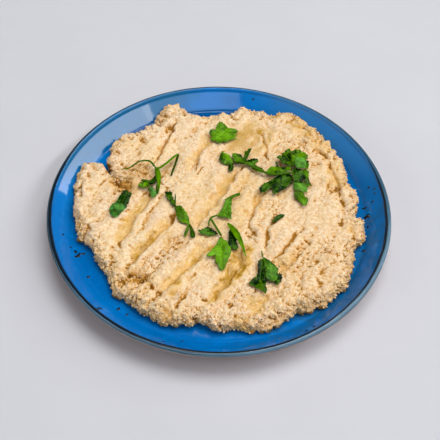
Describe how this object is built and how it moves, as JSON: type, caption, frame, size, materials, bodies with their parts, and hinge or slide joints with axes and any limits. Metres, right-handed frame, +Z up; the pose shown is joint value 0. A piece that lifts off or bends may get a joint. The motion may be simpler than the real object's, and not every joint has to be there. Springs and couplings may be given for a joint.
{
  "type": "plate of hummus",
  "caption": "Round coupe plate spread with a thick, spoon-furrowed layer of hummus, with olive oil in the furrows and parsley on top.",
  "frame": {"origin": "on the table under the centre of the plate's foot", "axes": "+Z up out of the plate, +Y to the far side of the plate, +X to the right"},
  "size_m": [0.24, 0.24, 0.0267],
  "materials": {
    "glaze": "glossy mottled blue reactive glaze with dark iron specks, near-black lip and bare clay foot",
    "hummus": "moist cream-coloured chickpea paste, crumbly at the edge, smooth where the spoon dragged it",
    "oil": "clear golden olive oil, glossy",
    "parsley": "fresh green leaf with a soft sheen and pale veins"
  },
  "bodies": {
    "root": {"plate": "glaze", "hummus": "hummus", "oil_left": "oil", "oil_lower_left": "oil", "oil_upper": "oil", "oil_middle": "oil", "oil_lower": "oil", "oil_front": "oil", "oil_back": "oil", "parsley_back": "parsley", "parsley_left": "parsley", "parsley_mid_left": "parsley", "parsley_curled": "parsley", "parsley_fragment": "parsley", "parsley_front": "parsley", "sprig_left": "parsley", "sprig_mid": "parsley", "sprig_right": "parsley"}
  },
  "joints": []
}
